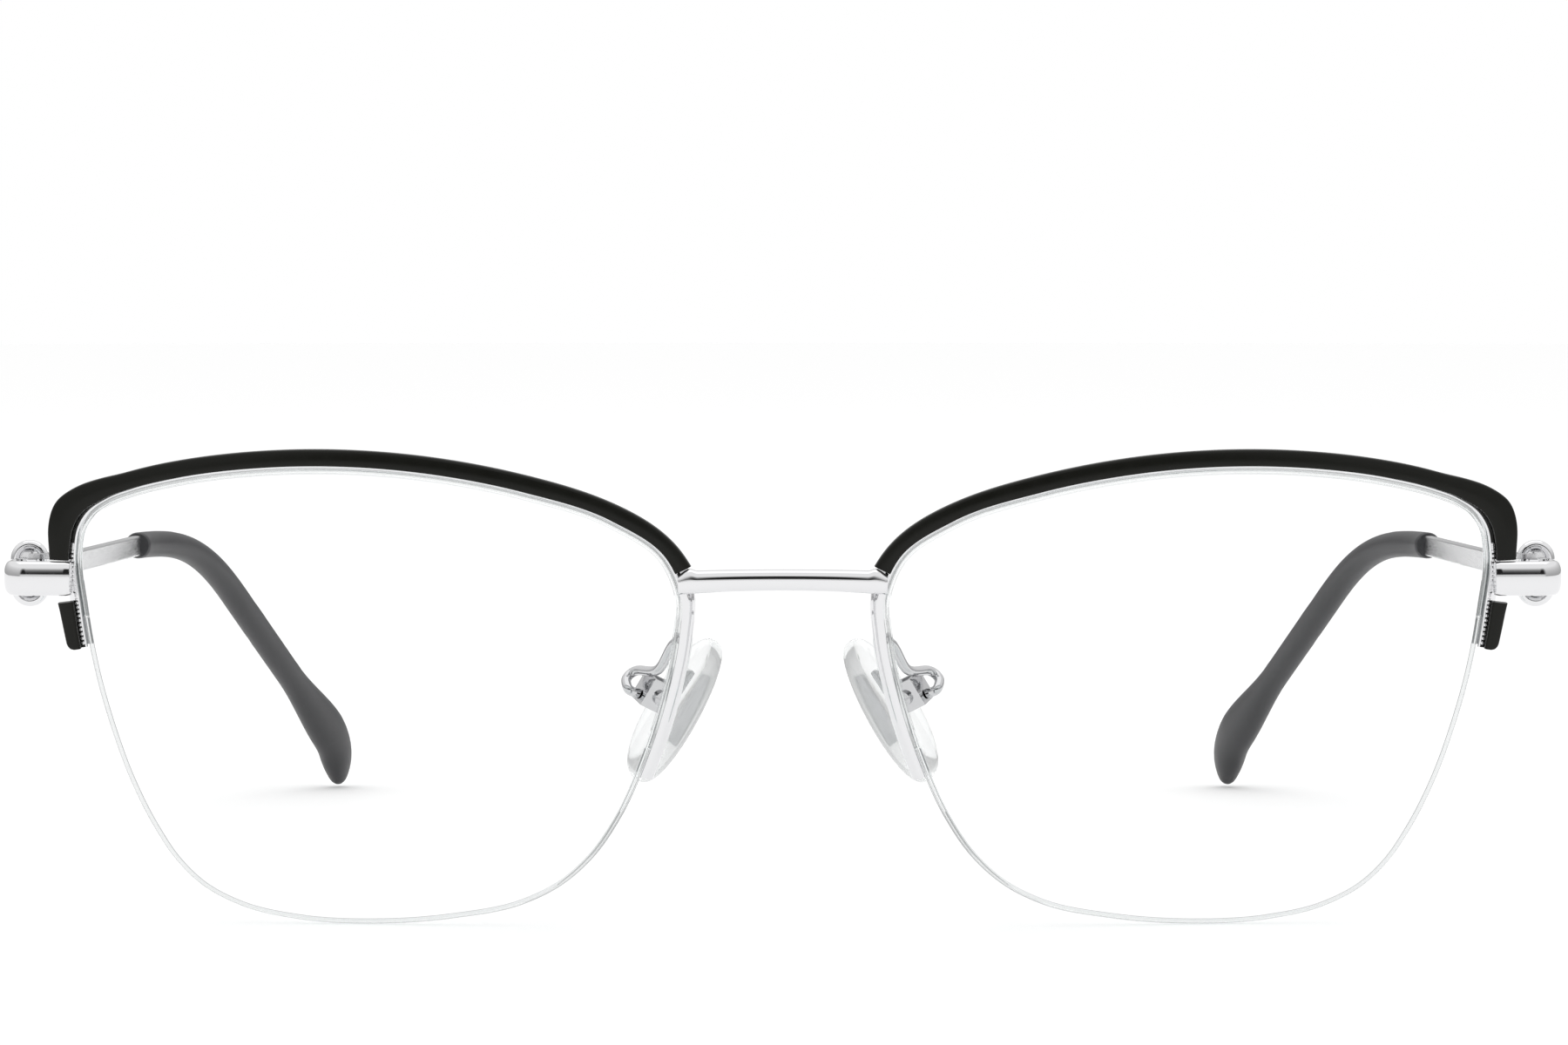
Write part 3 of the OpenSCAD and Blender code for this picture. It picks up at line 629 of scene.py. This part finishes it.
def make_brow_lower(side, word):
    """The short piece under the end piece, with a rounded outer corner at its end."""
    corner_from, corner_len, corner_r = 0.84, 0.16, 0.55
    rings = []
    for f in steps(60):
        s = mix(BROW_LOWER_START, RIM_END, f)
        g = max(0, f - corner_from) / corner_len
        cut = corner_r * (1 - sqrt(max(0, 1 - g * g)))
        rings.append(edge_ring(s, brow_section(brow_inner(s), brow_outer(s) - cut)))
    obj = skin(rings, f"{word}_brow_lower", side, "front", ENAMEL, 50)
    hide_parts(f"{word}_brow_end")


def make_liner(side, word):
    """It fills the rim's channel, and its tongue reaches into the lens's groove."""
    tongue = CORD_R - 0.06
    section = [(CHANNEL_FLOOR - FIT, CHANNEL_FRONT + FIT), (CHANNEL_FLOOR - FIT, CHANNEL_BACK - FIT),
               (FIT, CHANNEL_BACK - FIT), (FIT, LENS_MID + tongue), (-tongue, LENS_MID + tongue),
               (-tongue, LENS_MID - tongue), (FIT, LENS_MID - tongue), (FIT, CHANNEL_FRONT + FIT)]
    marks = [mix(RIM_START + CORD_TUCK, RIM_END - CORD_TUCK, f) for f in steps(160)]
    obj = skin([edge_ring(s, rounded(section, 0.08, 2)) for s in marks],
               f"{word}_channel_liner", side, "front", NYLON, 40)
    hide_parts(f"{word}_lens_liner")


def make_cord(side, word):
    """The nylon cord in the groove below, from inside one end of the rim to inside the other."""
    into_rim = 0.42
    start, end = RIM_END - KNOTS - into_rim, RIM_START + into_rim
    section = [(q[0], q[1] + LENS_MID) for q in oval(16, CORD_R, CORD_R)]
    obj = skin([edge_ring(mix(start, end, f), section) for f in steps(200)],
               f"{word}_nylon_cord", side, "front", NYLON, 60)
    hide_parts(f"{word}_lens_cord")


def make_lens(side, word):
    """Two curved faces that meet in an edge with a groove round it."""
    facets, cut, groove = 248, 0.08, CORD_R + 0.03
    front, back = LENS_MID - groove, LENS_MID + groove
    line = [(edge(s), outward(s)) for s in (KNOTS * i / facets for i in range(facets))]

    def ring(share, d, h):
        return [LENS_POS + shell((p + o * d) * share, h) for p, o in line]

    shares = steps(24)[1:]
    rings = [ring(share, -cut, 0) for share in shares]
    rings += [ring(1, d, h) for d, h in ((0, cut), (0, front), (-groove, front), (-groove, back),
                                         (0, back), (0, LENS_T - cut))]
    rings += [ring(share, -cut, LENS_T) for share in reversed(shares)]
    bm = bmesh.new()
    made = join_rings(bm, rings)
    for inmost, h in ((made[0], 0), (made[-1], LENS_T)):
        centre = bm.verts.new(LENS_POS + shell(V((0, 0)), h))
        for j in range(facets):
            bm.faces.new((inmost[j], inmost[(j + 1) % facets], centre))
    obj = finish_mesh(bm, f"{word}_clear_lens", side, "front", LENS, 25)
    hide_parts(f"{word}_lens")


def make_end_piece(side, word):
    """A rounded bar that slants off the rim's front, then turns back to the hinge."""
    slant, first_turn, corner_steps = 0.12, 7, 24
    turn_x = LEG_X - CORNER_R
    turn_y = END_FRONT_Y + slant * (turn_x - END_FOOT.x)
    path = []
    for f in steps(30):
        x = mix(END_FOOT.x, turn_x, f)
        path.append((x, END_FRONT_Y + slant * (x - END_FOOT.x), 90 - first_turn * (1 - f)))
    for i in range(1, corner_steps + 1):
        t = 90 * i / corner_steps
        path.append((turn_x + CORNER_R * sin(radians(t)), turn_y + CORNER_R * (1 - cos(radians(t))), 90 - t))
    path.append((LEG_X, BUTT_Y, 0))
    rings = []
    for i, (x, y, turn) in enumerate(path):
        t = radians(turn)
        shrink = 0.08 * max(0, 1 - i / 3)
        section = oval(40, END_T / 2 - shrink, END_H / 2 - shrink, 0.76)
        rings.append(across(V((x, y, HINGE_Z)), V((cos(t), -sin(t), 0)), V((0, 0, 1)), section))
    obj = skin(rings, f"{word}_end_bar", side, "front", SILVER, 50)
    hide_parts(f"{word}_end_piece")


def make_pad_arm(side, word):
    """A wire from the back of the rim that loops round to the back of the pad box."""
    foot_rise = 5.6
    foot = at_edge(edge_at(foot_rise, NOSE_KNOT - 4, NOSE_KNOT), FOOT_OUT, RIM_BACK + 0.06)
    end = core_to_front(BOSS_X + BOSS_R + FIT + BOX_WALL + 0.1, 0, -0.7)
    knots = [foot, foot + V((0.1, 1.1, 0)), foot + V((1.3, 2.6, -0.6)), foot + V((2.7, 4.6, -3)),
             end + V((0.15, 0.55, 2)), end + V((1.05, 0.4, 1.3)), end + V((0.85, -0.45, 0.42)), end]
    last = len(knots) - 1
    section = oval(16, PAD_WIRE_D / 2, PAD_WIRE_D / 2)
    rings = []
    for f in steps(140):
        t = f * last
        direction = (spline(knots, min(last, t + 0.02)) - spline(knots, max(0, t - 0.02))).normalized()
        u = direction.cross(V((1, 0.2, -0.3))).normalized()
        rings.append(across(spline(knots, t), u, u.cross(direction), section))
    obj = skin(rings, f"{word}_pad_wire", side, "front", PAD_FITTING, 60)
    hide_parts(f"{word}_pad_arm")


def make_pad(side, word):
    """A soft oval cushion with a pocket for the core, as a closed inner wall."""
    rings_count, sweep = 46, 87
    rings = []
    for i in range(rings_count + 1):
        t = radians(2 * sweep * i / rings_count - sweep)
        r = cos(t)
        section = oval(40, PAD_T / 2 * r ** 0.8, PAD_W / 2 * r ** 0.75 * (1 - 0.1 * sin(t)), 0.95)
        rings.append([PAD_POS + PAD_TURN @ V((q[0] - 0.12 * PAD_T * (1 - r), -q[1],
                                              PAD_L / 2 * sin(t) / sin(radians(sweep)))) for q in section])
    bm = bmesh.new()
    add_skin(bm, rings)
    half_w, half_l = 0.55, 3.25
    corners = rounded([(half_w, half_l), (-half_w, half_l), (-half_w, -half_l), (half_w, -half_l)], 0.3, 3)
    add_skin(bm, [[core_to_front(x, y, z) for y, z in corners] for x in (-0.12, 0.44)])
    obj = finish_mesh(bm, f"{word}_silicone_pad", side, "front", SILICONE, 50)
    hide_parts(f"{word}_nose_pad")


def make_pad_core(side, word):
    """The slim metal bar inside the pad, and the boss that the screw goes through."""
    half_w, half_l = 0.3, 3.2
    bm = bmesh.new()
    bar = rounded([(half_w, half_l), (-half_w, half_l), (-half_w, -half_l), (half_w, -half_l)], 0.25, 5)
    add_skin(bm, [[core_to_front(x, y * f, z * f) for y, z in bar]
                  for x, f in ((-0.1, 0.94), (-0.06, 1), (0.36, 1), (0.4, 0.94))])
    boss = [(0.2, -BOSS_R), (0.2, BOSS_R)]
    boss += [(BOSS_X + BOSS_R * sin(pi * i / 16), BOSS_R * cos(pi * i / 16)) for i in range(17)]
    face, shrink_about = BOSS_W / 2, 2.0
    add_skin(bm, [[core_to_front(shrink_about + (x - shrink_about) * f, y, z * f) for x, z in boss]
                  for y, f in ((-face, 0.95), (0.05 - face, 1), (face - 0.05, 1), (face, 0.95))])
    obj = finish_mesh(bm, f"{word}_pad_bar", side, "front", PAD_BAR, 40)
    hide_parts(f"{word}_pad_core")


# The temples' pieces
def make_temple_arm(side, word):
    """The upright blade, with close rings where its height changes."""
    half_t, corner, butt_cut = ARM_T / 2, 0.26, 0.06
    marks = [BUTT_Y - HINGE_Y + 0.1 + 0.35 * i for i in range(70)]
    marks += [mix(marks[-1], ARM_LEN, f) for f in steps(40)[1:]]
    rings = []
    for i, y in enumerate(marks):
        cut = butt_cut if i == 0 else 0
        t, h = half_t - cut, arm_half_h(y) - 0.01 - cut
        section = rounded([(t, -h), (t, h), (-t, h), (-t, -h)], corner, 5)
        rings.append(across(arm_centre(y), ARM_SIDE, ARM_UP, section))
    obj = skin(rings, f"{word}_temple_blade", side, f"{word}_temple", SATIN, 50)
    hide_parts(f"{word}_temple_arm")


def make_tip(side, word):
    close_start = [0, 0.08, 0.16, 0.26]
    rings = [tip_ring(t) for t in close_start + [TIP_STEPS * f for f in steps(170)[2:]]]
    obj = skin(rings, f"{word}_ear_tip", side, f"{word}_temple", PLASTIC, 50)
    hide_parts(f"{word}_temple_tip")


def dress_solids(word):
    """The small hinge and pad parts keep their solids: they get a finish and, but for the ring, a bevel."""
    finishes = {"front_hinge_leaf": SILVER, "rear_hinge_leaf": SILVER, "temple_ring": SILVER,
                "pad_box": PAD_FITTING, "pad_screw": SCREW, "hinge_screw": SCREW}
    for name, material in finishes.items():
        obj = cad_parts[f"{word}_{name}"]
        obj.material_slots[0].material = material
        if name != "temple_ring":
            bevel = obj.modifiers.new("fine_edges", "BEVEL")
            bevel.width = 0.00005
            bevel.segments = 2
            bevel.limit_method = "ANGLE"
            bevel.angle_limit = radians(40)


make_bridge()
for side, word in ((1, "left"), (-1, "right")):
    for build in (make_rim, make_beads, make_brow_line, make_brow_lower, make_liner, make_cord, make_lens,
                  make_end_piece, make_pad_arm, make_pad, make_pad_core, make_temple_arm, make_tip):
        build(side, word)
for word in ("left", "right"):
    dress_solids(word)


# Floor, light and camera
def floor_material():
    """White, and glowing a little for camera, glossy and transmission rays."""
    mat, tree, bsdf = node_material("white_floor", (0.94, 0.94, 0.94), rough=0.9, Specular_IOR_Level=0.0)
    glow = tree.nodes.new("ShaderNodeEmission")
    glow.inputs["Strength"].default_value = 0.16
    lit = tree.nodes.new("ShaderNodeAddShader")
    pick = tree.nodes.new("ShaderNodeMixShader")
    tree.links.new(bsdf.outputs["BSDF"], lit.inputs[0])
    tree.links.new(glow.outputs["Emission"], lit.inputs[1])
    tree.links.new(ray_is(tree, "Is Camera Ray", "Is Glossy Ray", "Is Transmission Ray"), pick.inputs["Fac"])
    tree.links.new(bsdf.outputs["BSDF"], pick.inputs[1])
    tree.links.new(lit.outputs["Shader"], pick.inputs[2])
    tree.links.new(pick.outputs["Shader"], tree.nodes["Material Output"].inputs["Surface"])
    return mat


def make_floor():
    bm = bmesh.new()
    bmesh.ops.create_circle(bm, cap_ends=True, segments=128, radius=3)
    mesh = bpy.data.meshes.new("floor")
    bm.to_mesh(mesh)
    bm.free()
    mesh.materials.append(floor_material())
    floor_obj = bpy.data.objects.new("floor", mesh)
    bpy.context.scene.collection.objects.link(floor_obj)
    floor_obj.location = (0, 0, -0.00002)


def grey_ramp(tree, stops):
    """A colour ramp of plain grey levels, each given with its place."""
    ramp = tree.nodes.new("ShaderNodeValToRGB")
    elements = ramp.color_ramp.elements
    while len(elements) < len(stops):
        elements.new(0.5)
    for element, (place, level) in zip(elements, stops):
        element.position = place
        element.color = (level, level, level, 1)
    return ramp


def make_room():
    """The camera sees white. The pieces are lit by a bright room, with a thin dark gap over the
    horizon on the side of the photographer. Place 0 of a ramp is straight down and 1 is straight up."""
    world = bpy.data.worlds.new("studio")
    bpy.context.scene.world = world
    world.use_nodes = True
    tree = world.node_tree
    for node in list(tree.nodes):
        tree.nodes.remove(node)
    coord = tree.nodes.new("ShaderNodeTexCoord")
    split = tree.nodes.new("ShaderNodeSeparateXYZ")
    tree.links.new(coord.outputs["Generated"], split.inputs["Vector"])
    height = tree.nodes.new("ShaderNodeMath")
    height.operation = "MULTIPLY_ADD"
    height.inputs[1].default_value = 0.5
    height.inputs[2].default_value = 0.5
    tree.links.new(split.outputs["Z"], height.inputs[0])
    near = tree.nodes.new("ShaderNodeMapRange")
    near.inputs["From Min"].default_value = -0.84
    near.inputs["From Max"].default_value = -0.93
    tree.links.new(split.outputs["Y"], near.inputs["Value"])
    walls = grey_ramp(tree, ((0.5, 0.42), (0.76, 0.94)))
    near_wall = grey_ramp(tree, ((0.0, 0.7), (0.522, 0.72), (0.535, 0.02), (0.690, 0.02), (0.730, 0.85),
                                 (0.80, 0.92), (1.0, 1.0)))
    room = tree.nodes.new("ShaderNodeMix")
    room.data_type = "RGBA"
    tree.links.new(height.outputs["Value"], walls.inputs["Fac"])
    tree.links.new(height.outputs["Value"], near_wall.inputs["Fac"])
    tree.links.new(near.outputs["Result"], room.inputs["Factor"])
    tree.links.new(walls.outputs["Color"], room.inputs["A"])
    tree.links.new(near_wall.outputs["Color"], room.inputs["B"])
    light = tree.nodes.new("ShaderNodeBackground")
    tree.links.new(room.outputs["Result"], light.inputs["Color"])
    seen = tree.nodes.new("ShaderNodeBackground")
    seen.inputs["Color"].default_value = (1, 1, 1, 1)
    blend = tree.nodes.new("ShaderNodeMixShader")
    tree.links.new(ray_is(tree, "Is Camera Ray"), blend.inputs["Fac"])
    tree.links.new(light.outputs["Background"], blend.inputs[1])
    tree.links.new(seen.outputs["Background"], blend.inputs[2])
    out = tree.nodes.new("ShaderNodeOutputWorld")
    tree.links.new(blend.outputs["Shader"], out.inputs["Surface"])


def make_softbox():
    data = bpy.data.lights.new("overhead_softbox", "AREA")
    data.shape = "RECTANGLE"
    data.size, data.size_y = 1.3, 1.0
    data.energy = 1.5
    obj = bpy.data.objects.new("overhead_softbox", data)
    bpy.context.scene.collection.objects.link(obj)
    obj.location = (0, 0.05, 1.1)
    obj.rotation_euler = (-V(obj.location)).to_track_quat("-Z", "Y").to_euler()


def make_camera():
    """The photographer's place, in mm and degrees, fitted to the photograph."""
    away, up, tip_down = 527, 61.4, 2.71
    camera = bpy.data.cameras.new("camera")
    camera.sensor_width = 36
    camera.lens = 136.35
    camera.shift_x = 0.0008
    camera.clip_start = 0.05
    camera.clip_end = 20
    camera_obj = bpy.data.objects.new("camera", camera)
    bpy.context.scene.collection.objects.link(camera_obj)
    camera_obj.location = (0, (SHIFT - away) / 1000, up / 1000)
    camera_obj.rotation_euler = (radians(90 - tip_down), 0, 0)
    bpy.context.scene.camera = camera_obj


make_floor()
make_room()
make_softbox()
make_camera()
bpy.context.scene.view_settings.view_transform = "Standard"
